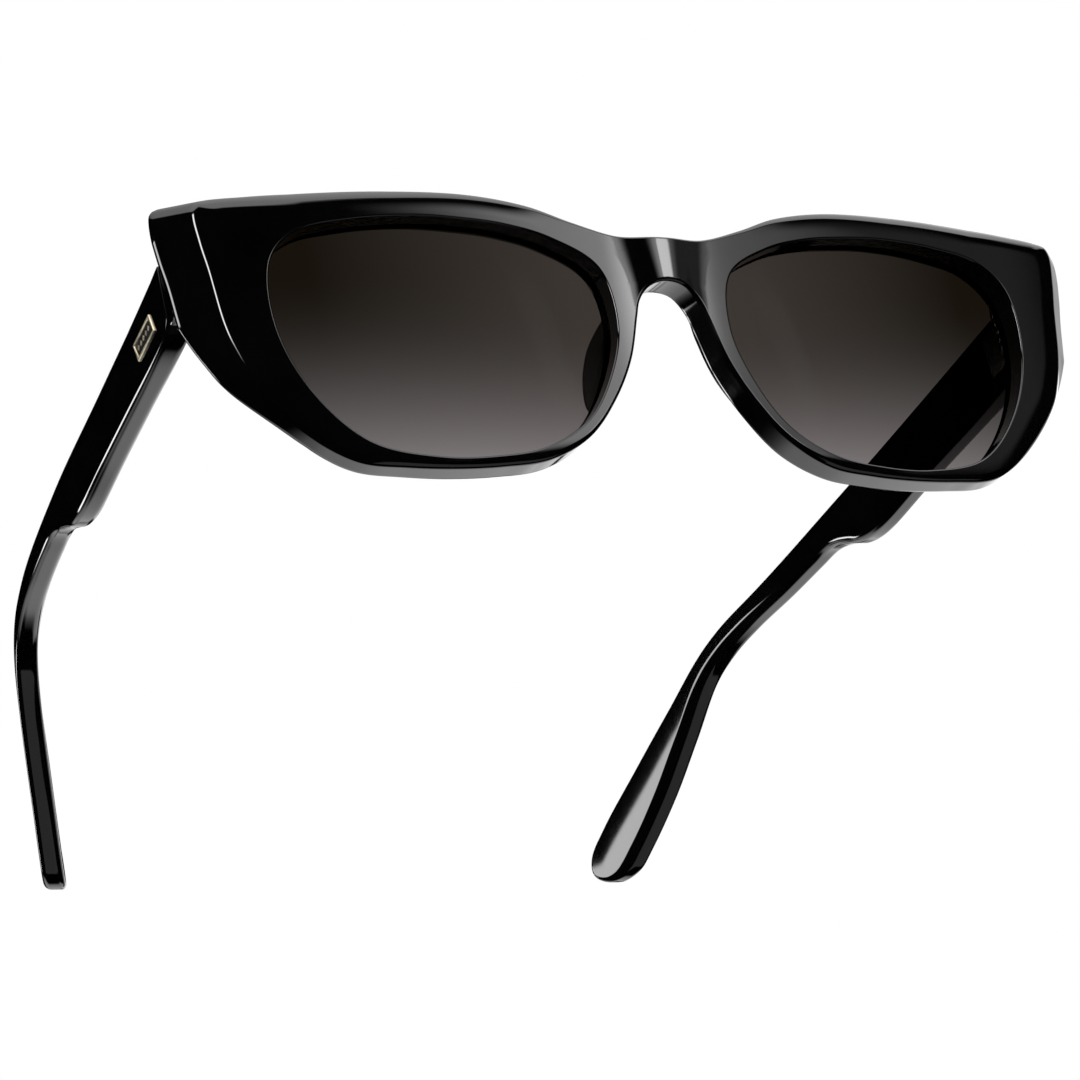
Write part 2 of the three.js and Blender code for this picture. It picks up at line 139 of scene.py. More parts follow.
EMBLEM_ALONG = 9.7          # from the hinge axis to the middle of the emblem
EMBLEM_DROP = 0.6
MOTIF_PITCH = 1.25
MOTIF_SIZE = 0.45

# ---- colours and light ---------------------------------------------------------------------

# The lens tint is a light foot that darkens upwards, by (1 - height / reach) ** falloff, into a
# head colour. The outer side and the nose side each have a head, a reach and a falloff. The nose
# side's lighter head is a painted reflection of the studio laid over the real tint.
TINT_FOOT = (0.23, 0.21, 0.21)
TINT_OUTER = ((0.009, 0.0065, 0.004), 0.85, 2.75)
# Nose-side head: the tint with a painted reflection, lighter than the outer head
NOSE_TINT_AND_PAINTED_REFLECTION = ((0.044, 0.037, 0.032), 0.6, 2.35)
# Painted reflection: across the lens the dark outer tint gives way to the lighter,
# painted-reflection nose side
PAINTED_REFLECTION_ACROSS = (0.052, 0.039)    # where the outer tint starts to give way, and over how far, in m

# Softboxes that the polished surfaces reflect: a level, and the soft edges in degrees where each
# box rises and falls, across in azimuth and up in elevation. Azimuth 0 is straight ahead of the
# front, and it grows towards the wearer's left.
KEY_BAND = ((6, 18), (26, 36))
SOFTBOXES = {
    "key": (2.4, (13, 26), (29, 33.5), *KEY_BAND),
    "key_core": (7.7, (26, 28), (29.6, 32.4), *KEY_BAND),
    "key_flank": (1.35, (13, 26), (32, 43), *KEY_BAND),
    "key_spill": (0.25, (13, 26), (49.5, 53.5), *KEY_BAND),
    "strip": (22.0, (-54, -48), (-38, -32), (4, 12), (30, 34)),
    "side": (9.0, (-129, -125), (-102, -98), (2, 8), (17.5, 18.1)),
    "low": (0.45, (5, 15), (80, 90), (-92, -91), (-44, -38)),
    "rear": (0.6, (102, 108), (134, 144), (-4, 0), (46, 54)),
    "temple_edge": (11.0, (-153, -150.5), (-146.5, -144.8), (-12, -9), (5, 8)),
    "temple_step": (0.9, (155.5, 158), (168, 172), (-12, -8), (14, 18)),
    "temple_foot": (1.5, (137, 140), (149, 152), (-17, -10), (20, 26)),
}
TABLE_LEVEL = 1.4               # of the pale table behind the pair
OVERHEAD_LEVEL = 3.0
# Share of the overhead softbox's brightness from its front edge to its back edge.
OVERHEAD_PROFILE = [(0.0, 0.9), (0.3, 0.95), (0.45, 0.75), (0.6, 0.5), (0.7, 0.4), (0.8, 0.2),
                    (0.9, 0.06)]

# The camera, in the design frame: where it stands, how far it turns, looks up and rolls in
# degrees, and its lens and sensor width.
CAMERA_SPOT = (-307.6251, -544.6215, -267.6949)
CAMERA_YAW, CAMERA_PITCH, CAMERA_ROLL = 27.2837, 20.9326, -9.2687
CAMERA_LENS, CAMERA_SENSOR = 160, 36

# ---- frames --------------------------------------------------------------------------------

left_fold = next(j for j in frame["joints"] if j["name"] == "left_fold")
LEAN = TILT - math.atan2(left_fold["axis"][1], left_fold["axis"][2])
TURN = Matrix.Rotation(LEAN, 4, "X")
REST = Matrix.Translation(Vector(left_fold["pos_m"]) - TURN @ HINGE / 1000) @ TURN
REST = REST @ Matrix.Scale(0.001, 4)

# ---- curves --------------------------------------------------------------------------------


def smooth(points, closed=False, before=None, after=None, fine=60):
    """A dense centripetal Catmull-Rom polyline through the points."""
    pts = [np.array(p, float) for p in points]
    if closed:
        pts = [pts[-1], *pts, pts[0], pts[1]]
    else:
        pts = [np.array(before if before is not None else 2 * pts[0] - pts[1], float), *pts,
               np.array(after if after is not None else 2 * pts[-1] - pts[-2], float)]
    out = []
    for p0, p1, p2, p3 in zip(pts, pts[1:], pts[2:], pts[3:]):
        t1 = np.linalg.norm(p1 - p0) ** 0.5
        t2 = t1 + np.linalg.norm(p2 - p1) ** 0.5
        t3 = t2 + np.linalg.norm(p3 - p2) ** 0.5
        for t in np.linspace(t1, t2, fine, endpoint=False):
            a1 = p0 * (t1 - t) / t1 + p1 * t / t1
            a2 = p1 * (t2 - t) / (t2 - t1) + p2 * (t - t1) / (t2 - t1)
            a3 = p2 * (t3 - t) / (t3 - t2) + p3 * (t - t2) / (t3 - t2)
            b1 = a1 * (t2 - t) / t2 + a2 * t / t2
            b2 = a2 * (t3 - t) / (t3 - t1) + a3 * (t - t1) / (t3 - t1)
            out.append(b1 * (t2 - t) / (t2 - t1) + b2 * (t - t1) / (t2 - t1))
    out.append(np.array(pts[-2], float))
    return np.array(out)


def lengths(line):
    return np.concatenate([[0], np.cumsum(np.linalg.norm(np.diff(line, axis=0), axis=1))])


def nearest(line, point):
    return int(np.argmin(np.linalg.norm(line - np.array(point, float), axis=1)))


def pieces(line, marks, counts):
    """The line sampled between its marked vertices, with a given number of steps in each
    stretch."""
    s = lengths(line)
    stops = []
    for a, b, count in zip(marks, marks[1:], counts):
        stops.extend(np.linspace(s[a], s[b], count, endpoint=False))
    stops.append(s[marks[-1]])
    return np.stack([np.interp(stops, s, line[:, k]) for k in range(line.shape[1])], axis=1)


def mitres(loop, closed=True):
    """Outward offset vectors of a clockwise loop, one for each vertex."""
    ahead = np.roll(loop, -1, axis=0) - loop
    if not closed:
        ahead[-1] = ahead[-2]
    ahead = ahead / np.linalg.norm(ahead, axis=1)[:, None]
    left = np.stack([-ahead[:, 1], ahead[:, 0]], axis=1)
    before = np.roll(left, 1, axis=0)
    if not closed:
        before[0] = left[0]
    return (left + before) / (1 + (left * before).sum(axis=1))[:, None]


def ease(t):
    t = np.clip(t, 0, 1)
    return t * t * (3 - 2 * t)


def fillet(start, corner, end, steps=6):
    """Rows of points along circular arcs from start to end that round off the corner."""
    a, b = start - corner, end - corner
    cos = (a * b).sum(axis=1) / (np.linalg.norm(a, axis=1) * np.linalg.norm(b, axis=1))
    weight = np.sqrt(np.clip((1 - cos) / 2, 0, 1))[:, None]
    rows = []
    for t in np.linspace(0, 1, steps + 1):
        w = 2 * weight * t * (1 - t)
        rows.append((start * (1 - t) ** 2 + corner * w + end * t ** 2)
                    / ((1 - t) ** 2 + w + t ** 2))
    return rows


def evened(values, reach=6):
    """Values round a closed loop, each averaged with its neighbours."""
    return sum(np.roll(values, k) for k in range(-reach, reach + 1)) / (2 * reach + 1)


def blend_rows(first, last, shares):
    return [first + (last - first) * t for t in shares]


SHARP_ANGLE = 32            # degrees between faces, above which an edge of a drawn piece is crisp

# ---- meshes --------------------------------------------------------------------------------


class Shell:
    """Vertices and faces of one piece, in the design frame."""

    def __init__(self):
        self.verts, self.faces = [], []

    def rows(self, rows, closed=False):
        base, count = len(self.verts), len(rows[0])
        for row in rows:
            self.verts.extend(tuple(p) for p in row)
        for r in range(len(rows) - 1):
            for c in range(count if closed else count - 1):
                d = (c + 1) % count
                low, high = base + r * count, base + (r + 1) * count
                self.faces.append((low + c, low + d, high + d, high + c))
        return self

    def cap(self, ring):
        base = len(self.verts)
        self.verts.extend(tuple(p) for p in ring)
        self.faces.append(tuple(range(base, base + len(ring))))
        return self

    def add(self, other):
        base = len(self.verts)
        self.verts.extend(other.verts)
        self.faces.extend(tuple(i + base for i in f) for f in other.faces)
        return self

    def moved(self, matrix):
        out = Shell()
        out.verts = [tuple(matrix @ Vector(v)) for v in self.verts]
        out.faces = list(self.faces)
        return out

    def mirrored(self):
        out = Shell()
        out.verts = [(-x, y, z) for x, y, z in self.verts]
        out.faces = [tuple(reversed(f)) for f in self.faces]
        return out


def build(name, shell, body, material, nodes):
    mesh = bpy.data.meshes.new(name)
    mesh.from_pydata([tuple(v) for v in shell.verts], [], shell.faces)
    bm = bmesh.new()
    bm.from_mesh(mesh)
    bmesh.ops.remove_doubles(bm, verts=bm.verts, dist=2e-4)
    bmesh.ops.dissolve_degenerate(bm, edges=bm.edges, dist=1e-5)
    bmesh.ops.recalc_face_normals(bm, faces=bm.faces)
    bm.to_mesh(mesh)
    bm.free()
    mesh.transform(REST)
    mesh.polygons.foreach_set("use_smooth", [True] * len(mesh.polygons))
    mesh.set_sharp_from_angle(angle=math.radians(SHARP_ANGLE))
    mesh.materials.append(material)
    obj = bpy.data.objects.new(name, mesh)
    bpy.context.scene.collection.objects.link(obj)
    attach(obj, body)
    for node in nodes:
        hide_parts(node)
    return obj


def coons(top, bottom, left, right):
    """A grid of rows that fills four sides. Top and bottom run left to right, left and right run
    top to bottom."""
    rows, cols = len(left), len(top)
    u = np.linspace(0, 1, cols)[None, :, None]
    v = np.linspace(0, 1, rows)[:, None, None]
    ruled = (1 - v) * top[None] + v * bottom[None] + (1 - u) * left[:, None] + u * right[:, None]
    flat = ((1 - u) * (1 - v) * top[0] + u * (1 - v) * top[-1] + (1 - u) * v * bottom[0]
            + u * v * bottom[-1])
    return ruled - flat


def plate(sides, low, high, low_radius, high_radius, axes, hold=0.12, steps=5):
    """A plate with rounded edges. Sides are the four stretches (top, right, bottom, left) of a
    clockwise loop in its plane, low and high give its two faces, and axes says which of x, y, z
    each of its own coordinates (across, up, thickness) is."""
    sizes = [len(s) - 1 for s in sides]
    loop = np.concatenate([s[:-1] for s in sides])
    out = mitres(loop)
    low_r = np.broadcast_to(low_radius, len(loop))[:, None].astype(float)
    high_r = np.broadcast_to(high_radius, len(loop))[:, None].astype(float)

    def on(flat, face):
        return np.column_stack([flat, face(flat[..., 0], flat[..., 1])])

    def level(flat, w):
        return np.column_stack([flat, w])

    def fill(flat, face):
        cuts = np.cumsum([0, *sizes])
        ring = np.vstack([flat, flat[:1]])
        top, right, bottom, left = (ring[a:b + 1] for a, b in zip(cuts, cuts[1:]))
        grid = coons(top, bottom[::-1], left[::-1], right)
        return [on(row, face) for row in grid]

    def edge(face, radius, sign):
        inner = loop - out * (radius + hold)
        start = on(loop - out * radius, face)
        corner = on(loop, face)
        end = level(loop, corner[:, 2] - sign * radius[:, 0])
        return inner, [on(inner, face), *fillet(start, corner, end, steps)]

    high_inner, high_rows = edge(high, high_r, 1)
    low_inner, low_rows = edge(low, low_r, -1)
    wall = blend_rows(high_rows[-1], low_rows[-1], [0, 0.15, 0.5, 0.85, 1])
    shell = Shell()
    shell.rows(fill(high_inner, high)).rows(high_rows, True).rows(wall, True)
    shell.rows(low_rows, True).rows(fill(low_inner, low))
    order = [axes.index(k) for k in "xyz"]
    shell.verts = [tuple(float(v[k]) for k in order) for v in shell.verts]
    return shell


def straight(points, counts):
    """Four sides of a plate from its four corners, clockwise from the top left."""
    ring = [np.array(p, float) for p in points]
    return [np.linspace(a, b, n + 1)
            for a, b, n in zip(ring, ring[1:] + ring[:1], counts)]


AT_HINGE = Matrix.Translation(HINGE) @ Matrix.Rotation(-TILT, 4, "X")

# ---- front ---------------------------------------------------------------------------------


def wrap_y(x):
    return WRAP * x * x


def front_y(x, z):
    narrow = np.clip((z - 6.6) / 6.9, 0, 1) * 0.2 + 0.8
    t = ease((RIDGE_FOOT - np.abs(x) / narrow) / (RIDGE_FOOT - RIDGE_FLAT))
    return wrap_y(x) - RIDGE_HEIGHT * t


def back_y(x, z):
    depth = RIM_DEPTH + (END_DEPTH - RIM_DEPTH) * ease((np.abs(x) - END_FROM)
                                                       / (END_FULL - END_FROM))
    return wrap_y(x) + depth


def facet_slope(x, z):
    down = np.clip((z - FACET_END) / (FACET_TOP - FACET_END), 0, 1)
    out = np.clip((np.abs(x) - FACET_FROM) / (FACET_FULL - FACET_FROM), 0, 1)
    return FACET_WIDTH * down * ease(out) / END_DEPTH


def pillow(x):
    """How far the face falls back at its outer edge: nothing at the bridge."""
    return PILLOW * ease((x - PILLOW_FROM) / (PILLOW_FULL - PILLOW_FROM))


def lens_y(x, z):
    across, up = x - LENS_CENTRE[0], z - LENS_CENTRE[1]
    wrap = wrap_y(LENS_CENTRE[0]) + 2 * WRAP * LENS_CENTRE[0] * across
    return wrap + LENS_SET + (across ** 2 + up ** 2) / (2 * LENS_RADIUS)


def upright(flat, y):
    return np.column_stack([flat[:, 0], y, flat[:, 1]])


def front_half():
    outline = smooth(OUTLINE, before=(-7, 14.0), after=(-2.4, 6.5))
    opening = smooth(OPENING, closed=True)[:-1]
    opening = np.roll(opening, -nearest(opening, SPOKES[0][1]), axis=0)
    opening = np.vstack([opening, opening[:1]])
    out_marks = [nearest(outline, s[0]) for s in SPOKES]
    open_marks = [nearest(opening, s[1]) for s in SPOKES]
    span = lengths(outline)
    counts = [max(6, int(round((span[b] - span[a]) / 0.6)))
              for a, b in zip(out_marks, out_marks[1:])]
    rim = pieces(outline, out_marks, counts)
    hole = pieces(opening, [*open_marks, len(opening) - 1], [*counts, BRIDGE_ROWS])[:-1]
    shares = np.concatenate([np.linspace(0, 1, n, endpoint=False) + i
                             for i, n in enumerate(counts)] + [[len(counts)]])
    front_r = np.interp(shares, range(len(SPOKES)), [s[2] for s in SPOKES])[:, None]
    back_r = np.interp(shares, range(len(SPOKES)), [s[3] for s in SPOKES])[:, None]

    out = mitres(rim, closed=False)
    out[0], out[-1] = (0, 1), (0, -1)
    shell = Shell()

    # Outer wall, leaning out along the facet and up under the bridge and behind the corner.
    lean = facet_slope(rim[:, 0], rim[:, 1])
    rise = ARCH_RISE * ease(2 - rim[:, 0] / 2.6) * (rim[:, 1] < 8)
    rise = rise + CORNER_RISE * ease((rim[:, 0] - 60) / 7) * ease((rim[:, 1] - 15) / 2.5)
    face_in = rim - out * front_r
    start = upright(face_in, front_y(face_in[:, 0], face_in[:, 1]) + pillow(rim[:, 0]))
    soft = pillow(rim[:, 0]) * (1 + 2 / PILLOW_WIDTH * front_r[:, 0])
    top = upright(rim, front_y(rim[:, 0], rim[:, 1]) + soft)
    along = np.column_stack([lean, np.ones(len(rim)), rise])
    depth = np.full(len(rim), RIM_DEPTH)
    for _ in range(6):
        depth = back_y(rim[:, 0] + lean * depth, 0) - top[:, 1]
    base = top + along * depth[:, None]
    upper = fillet(start, top, top + along * front_r, 9)
    back_flat = base[:, [0, 2]] - out * back_r
    back_start = upright(back_flat, back_y(back_flat[:, 0], 0))
    lower = fillet(base - along * back_r, base, back_start, 7)
    middle = blend_rows(upper[-1], lower[0], [0, 0.06, 0.25, 0.5, 0.75, 0.94, 1])
    shell.rows(upper).rows(middle).rows(lower)

    # Wall of the opening, with the groove that holds the lens.
    into = mitres(hole)
    edge = upright(hole, front_y(hole[:, 0], hole[:, 1]))
    lip_in = hole + into * OPENING_EDGE
    lip = upright(lip_in, front_y(lip_in[:, 0], lip_in[:, 1]))
    inward = np.array([0, 1, 0])
    lip_rows = fillet(lip, edge, edge + inward * OPENING_EDGE, 5)
    seat = lens_y(hole[:, 0], hole[:, 1]) - SEAT_SLACK
    floor = seat + LENS_THICKNESS + 2 * SEAT_SLACK
    wide = hole + into * (LENS_OVERLAP + SEAT_SLACK)
    rear_edge = upright(hole, back_y(hole[:, 0], 0))
    rear_in = hole + into * OPENING_BACK
    rear = upright(rear_in, back_y(rear_in[:, 0], 0))
    room = np.clip(rear_edge[:, 1] - floor - 0.15, 0.05, OPENING_BACK)[:, None]
    rear_rows = fillet(rear_edge - inward * room, rear_edge, rear, 6)
    shell.rows(lip_rows, True)
    shell.rows(blend_rows(lip_rows[-1], upright(hole, seat), [0, 0.1, 0.5, 1]), True)
    shell.rows([upright(hole, seat), upright(wide, seat), upright(wide, floor),
                upright(hole, floor)], True)
    shell.rows(blend_rows(upright(hole, floor), rear_rows[0], [0, 0.5, 1]), True)
    shell.rows(rear_rows, True)

    # Front and back faces, from the outline and the middle of the bridge to the opening.
    shares = 0.5 - 0.5 * np.cos(np.linspace(0, math.pi, FACE_ROWS + 1))
    softened = np.append(pillow(rim[:, 0]), np.zeros(BRIDGE_ROWS - 1))
    for near, far, height, soft in ((face_in, lip_in, front_y, softened),
                                    (back_flat, rear_in, back_y, 0 * softened)):
        middle = np.linspace(near[-1], near[0], BRIDGE_ROWS + 1)[1:-1]
        ring = np.vstack([near, middle])
        rows = []
        for flat in blend_rows(ring, far, shares):
            away = np.linalg.norm(flat - ring, axis=1)
            fade = np.clip(1 - away / PILLOW_WIDTH, 0, 1) ** 2
            rows.append(upright(flat, height(flat[:, 0], flat[:, 1]) + soft * fade))
        shell.rows(rows, True)
    return shell


def lug():
    """The block behind each end piece, which carries the hinge."""
    inner = TEMPLE_INNER_X - HINGE.x
    outer = inner + TEMPLE_THICKNESS
    side = smooth([(outer - 1.4, -7.0), (outer - 0.2, -6.0), (outer + 0.85, -5.3),
                   (outer + 1.2, -4.4), (outer + 0.95, -3.1), (outer + 0.5, -1.9),
                   (outer + 0.15, -0.9), (outer, -GAP)])
    side = pieces(side, [0, len(side) - 1], [24])
    half = TEMPLE_HALF_HEIGHT
    sides = [np.linspace((inner, -GAP), (outer, -GAP), 9), side[::-1],
             np.linspace(side[0], (inner, -7.0), 9),
             np.linspace((inner, -7.0), (inner, -GAP), 25)]
    body = plate(sides, lambda u, v: np.full(np.shape(u), -half),
                 lambda u, v: np.full(np.shape(u), half), 0.4, 0.4, "xyz")
    leaning = []
    for x, y, z in body.verts:
        share = np.clip((-GAP - y) / 4, 0, 1) * np.clip((x - inner) / TEMPLE_THICKNESS, 0, 1)
        leaning.append((x + 0.14 * z * share, y, z))
    body.verts = leaning
    return body.moved(AT_HINGE)


def lens():
    edge = pieces(smooth(OPENING, closed=True), [0, 60 * len(OPENING)], [200])[:-1]
    edge = edge + mitres(edge) * LENS_OVERLAP
    middle = np.array(LENS_CENTRE)
    shell = Shell()

    def face(offset, shares):
        rings = [middle + (edge - middle) * s for s in shares]
        return [upright(r, lens_y(r[:, 0], r[:, 1]) + offset) for r in rings]

    shares = [0.002, 0.06, 0.15, 0.25, 0.35, 0.45, 0.55, 0.65, 0.75, 0.84, 0.92, 0.97, 0.993]
    front, back = face(0, shares), face(LENS_THICKNESS, shares)
    rim = [upright(edge, lens_y(edge[:, 0], edge[:, 1]) + d) for d in (0.2, 1.4)]
    shell.rows(front, True).rows([front[-1], rim[0], rim[1], back[-1]], True).rows(back, True)
    return shell.cap(front[0]).cap(back[0])


def nose_pad():
    """A leaning fin behind the nose side of the rim."""
    line = smooth([(7.0, 6.2, 5.4), (7.6, 8.4, 3.8), (8.5, 9.3, 2.2), (9.5, 9.6, 0.3),
                   (10.2, 9.6, -1.6), (10.9, 9.4, -3.7), (11.5, 9.0, -5.8), (12.2, 8.2, -8.3),
                   (12.7, 7.2, -10.2), (13.0, 6.0, -11.6)])
    ridge = pieces(line, [0, len(line) - 1], [48])
    outline = smooth(OUTLINE, before=(-7, 14.0), after=(-2.4, 6.5))
    tail = outline[nearest(outline, (15.9, -17.2)):]
    nose_x = np.interp(ridge[:, 2], tail[:, 1], tail[:, 0])
    share = np.linspace(0, 1, len(ridge))
    swell = np.sqrt(np.clip(1 - (2 * share - 1) ** 2, 0, 1))
    rows = []
    for p, x, s in zip(ridge, nose_x, swell):
        foot = RIM_DEPTH + wrap_y(x) - 0.4
        top = foot + (p[1] - foot) * max(s, 0.02) ** 0.6
        crest = np.array([p[0], top])
        inner = np.array([x + 0.55, foot])
        outer = np.array([x + 0.55 + 2.2 * max(s, 0.02) ** 0.5, foot])
        nose_side = bezier(inner, inner + (0.0, 0.45 * (top - foot)),
                           crest - ((crest - inner) * (0.45, 0.28)), crest, 12)
        lens_side = bezier(crest, crest + (0.55 * s, 0.10 * s), outer + (0.3, 0.55 * (top - foot)),
                           outer, 12)
        section = np.vstack([nose_side, lens_side[1:]])
        rows.append(np.column_stack([section[:, 0], section[:, 1],
                                     np.full(len(section), p[2])]))
    shell = Shell()
    shell.rows(rows).cap(rows[0]).cap(rows[-1])
    return shell.rows([[r[0] for r in rows], [r[-1] for r in rows]])


def bezier(a, b, c, d, steps):
    t = np.linspace(0, 1, steps + 1)[:, None]
    return a * (1 - t) ** 3 + 3 * b * t * (1 - t) ** 2 + 3 * c * t * t * (1 - t) + d * t ** 3


# ---- temples -------------------------------------------------------------------------------


def from_hinge(along, across):
    return (HINGE.y + along * math.cos(TILT) + across * math.sin(TILT),
            HINGE.z - along * math.sin(TILT) + across * math.cos(TILT))


BOW = smooth(TEMPLE_BOW)
MIDDLE = smooth(TEMPLE_MIDDLE)


def bow_x(y):
    return np.interp(y, BOW[:, 0], BOW[:, 1])


def inner_x(y, z):
    off = (z - np.interp(y, MIDDLE[:, 0], MIDDLE[:, 1])) * math.cos(math.pi / 4)
    return bow_x(y) + TIP_CROWN * np.minimum(off ** 2, 30) * ease((y - 105) / 15)


def outer_x(y, z):
    return bow_x(y) + TEMPLE_THICKNESS


def temple():
    top = TEMPLE_HALF_HEIGHT
    start = from_hinge(GAP, top)
    heel = from_hinge(GAP + TEMPLE_CHAMFER, -top)
    toe = from_hinge(GAP, -top + TEMPLE_CHAMFER)
    line = smooth([start, *TEMPLE_TOP, *TEMPLE_TIP, *TEMPLE_EAR, *TEMPLE_STEP, *TEMPLE_ROOT,
                   heel])
    line = np.vstack([line, np.linspace(heel, toe, 8)[1:]])
    pairs = [(start, toe), ((21, 13.9), (21, 3.2)), ((50, 9.2), (50, -0.9)),
             ((66, 6.7), (62, -2.7)), ((78, 4.7), (76, -0.2)), ((98, 0.9), (95, -2.6)),
             ((109, -1.8), (106, -4.8)), ((115.5, -5.0), (111.5, -6.9)),
             ((123.4, -11.4), (118.6, -13.3)), ((131.3, -18.2), (127.2, -24.6)),
             ((139.5, -25.4), (134.5, -32.2)), ((143.5, -31.6), (138.2, -34.8))]
    ups = [nearest(line, a) for a, _ in pairs]
    downs = [nearest(line, b) for _, b in pairs]
    ups[0], downs[0] = 0, len(line) - 1
    counts = [6, 18, 12, 16, 16, 10, 10, 12, 14, 14, 12]
    upper = pieces(line, ups, counts)
    lower = pieces(line, downs[::-1], counts[::-1])
    tip = pieces(line, [ups[-1], downs[-1]], [10])
    end = np.linspace(lower[-1], upper[0], 11)
    crisp = 0.22
    low_r, high_r = [], []
    for side, inner_r, outer_r in ((upper, 0.4, 1.1), (tip, 0.8, 1.3), (lower, 1.3, 0.9),
                                   (end, crisp, crisp)):
        share = ease((side[:-1, 0] - 17.5) / 8)
        low_r.append(crisp + (inner_r - crisp) * share)
        high_r.append(crisp + (outer_r - crisp) * share)
    return plate([upper, tip, lower, end], inner_x, outer_x,
                 evened(np.concatenate(low_r)), evened(np.concatenate(high_r)), "yzx")


def motif():
    """A row of small raised lozenges on the enamel of the emblem."""
    shell = Shell()
    for k in range(-2, 3):
        along, across = EMBLEM_ALONG + k * MOTIF_PITCH, -EMBLEM_DROP
        corners = [from_hinge(along - MOTIF_SIZE, across), from_hinge(along, across + MOTIF_SIZE),
                   from_hinge(along + MOTIF_SIZE, across), from_hinge(along, across - MOTIF_SIZE)]
        shell.add(plate(straight(corners, (4, 4, 4, 4)), lambda y, z: outer_x(y, z) + 0.1,
                        lambda y, z: outer_x(y, z) + 0.22, 0.02, 0.05, "yzx", hold=0.02))
    return shell


# ---- materials -----------------------------------------------------------------------------


class Nodes:
    """Short names for building a node tree."""

    def __init__(self, tree):
        self.tree = tree
        tree.nodes.clear()

    def add(self, kind, **values):
        node = self.tree.nodes.new("ShaderNode" + kind)
        for key, value in values.items():
            setattr(node, key, value)
        return node

    def plug(self, socket, value):
        if isinstance(value, bpy.types.NodeSocket):
            self.tree.links.new(value, socket)
        elif value is not None:
            socket.default_value = value

    def math(self, operation, *values, clamp=False):
        node = self.add("Math", operation=operation, use_clamp=clamp)
        for socket, value in zip(node.inputs, values):
            self.plug(socket, value)
        return node.outputs[0]

    def total(self, *values):
        out = values[0]
        for value in values[1:]:
            out = self.math("ADD", out, value)
        return out

    def product(self, *values):
        out = values[0]
        for value in values[1:]:
            out = self.math("MULTIPLY", out, value)
        return out

    def step(self, value, a, b):
        """0 at a, 1 at b, smooth between."""
        node = self.add("MapRange", interpolation_type="SMOOTHSTEP", clamp=True)
        low, high = min(a, b), max(a, b)
        ends = (0.0, 1.0) if a < b else (1.0, 0.0)
        for socket, v in zip(node.inputs, (value, low, high, *ends)):
            self.plug(socket, v)
        return node.outputs[0]

    def window(self, value, rise, fall):
        """1 between two soft edges, each given as a pair of values."""
        return self.product(self.step(value, *rise), self.step(value, *fall[::-1]))

    def ramp(self, value, stops):
        node = self.add("ValToRGB")
        elements = node.color_ramp.elements
        while len(elements) < len(stops):
            elements.new(0.5)
        for element, (place, colour) in zip(elements, stops):
            element.position = place
            element.color = (*colour, 1) if hasattr(colour, "__len__") else (colour,) * 3 + (1,)
        self.plug(node.inputs[0], value)
        return node.outputs[0]

    def mix(self, share, a, b):
        node = self.add("Mix", data_type="RGBA")
        self.plug(node.inputs[0], share)
        for socket, colour in ((node.inputs[6], a), (node.inputs[7], b)):
            self.plug(socket, (*colour, 1) if isinstance(colour, tuple) else colour)
        return node.outputs[2]

    def noise(self, vector, scale, detail):
        node = self.add("TexNoise")
        self.plug(node.inputs["Vector"], vector)
        node.inputs["Scale"].default_value = scale
        node.inputs["Detail"].default_value = detail
        return node.outputs[0]

    def object_place(self):
        return self.add("TexCoord").outputs["Object"]

    def scaled(self, vector, scale):
        node = self.add("Mapping")
        self.plug(node.inputs["Vector"], vector)
        node.inputs["Scale"].default_value = scale
        return node.outputs[0]

    def bump(self, height, strength, distance):
        node = self.add("Bump")
        self.plug(node.inputs["Height"], height)
        node.inputs["Strength"].default_value = strength
        node.inputs["Distance"].default_value = distance
        return node.outputs[0]


def surface(name, **values):
    """A material with one Principled BSDF, and its node builder and shader."""
    material = bpy.data.materials.new(name)
    material.use_nodes = True
    nodes = Nodes(material.node_tree)
    shader = nodes.add("BsdfPrincipled")
    for key, value in values.items():
        shader.inputs[key.replace("_", " ")].default_value = value
    target = nodes.add("OutputMaterial")
    nodes.plug(target.inputs["Surface"], shader.outputs[0])
    return material, nodes, shader


def acetate_material():
    material, n, shader = surface("acetate_black", IOR=1.5)
    place = n.object_place()
    cloud = n.noise(place, 90, 3)
    n.plug(shader.inputs["Base Color"], n.ramp(cloud, [(0.3, (0.0004, 0.0004, 0.0005)),
                                                       (0.75, (0.0011, 0.0011, 0.0012))]))
    polish = n.noise(n.scaled(place, (1, 1, 0.2)), 700, 2)
    rough = n.math("MULTIPLY_ADD", polish, 0.03, 0.035)
    n.plug(shader.inputs["Roughness"], rough)
    return material


def lens_material():
    material, n, shader = surface("lens_tint_and_painted_reflection", IOR=1.04, Roughness=0.0)
    shader.inputs["Transmission Weight"].default_value = 1.0
    split = n.add("SeparateXYZ")
    n.plug(split.inputs[0], n.object_place())
    low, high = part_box("lens_left")
    height = n.math("DIVIDE", n.math("SUBTRACT", split.outputs[2], low.z), high.z - low.z)

    def tint(head, reach, falloff):
        left = n.math("SUBTRACT", 1.0, n.math("DIVIDE", height, reach), clamp=True)
        return n.mix(n.math("POWER", left, falloff), head, TINT_FOOT)

    # The nose side is painted lighter than the outer side: a painted reflection mixed into the
    # tint
    outer_side, spread = PAINTED_REFLECTION_ACROSS
    inwards = n.math("SUBTRACT", outer_side, n.math("ABSOLUTE", split.outputs[0]))
    n.plug(shader.inputs["Base Color"],
           n.mix(n.math("DIVIDE", inwards, spread, clamp=True), tint(*TINT_OUTER),
                 tint(*NOSE_TINT_AND_PAINTED_REFLECTION)))
    return material


def steel_material():
    material, n, shader = surface("hinge_steel", Metallic=1.0)
    place = n.object_place()
    brushed = n.noise(n.scaled(place, (1, 8, 1)), 900, 3)
    n.plug(shader.inputs["Base Color"], n.ramp(brushed, [(0.3, (0.50, 0.50, 0.51)),
                                                         (0.7, (0.68, 0.68, 0.69))]))
    n.plug(shader.inputs["Roughness"], n.math("MULTIPLY_ADD", brushed, 0.16, 0.2))
    n.plug(shader.inputs["Normal"], n.bump(brushed, 0.15, 0.00004))
    return material


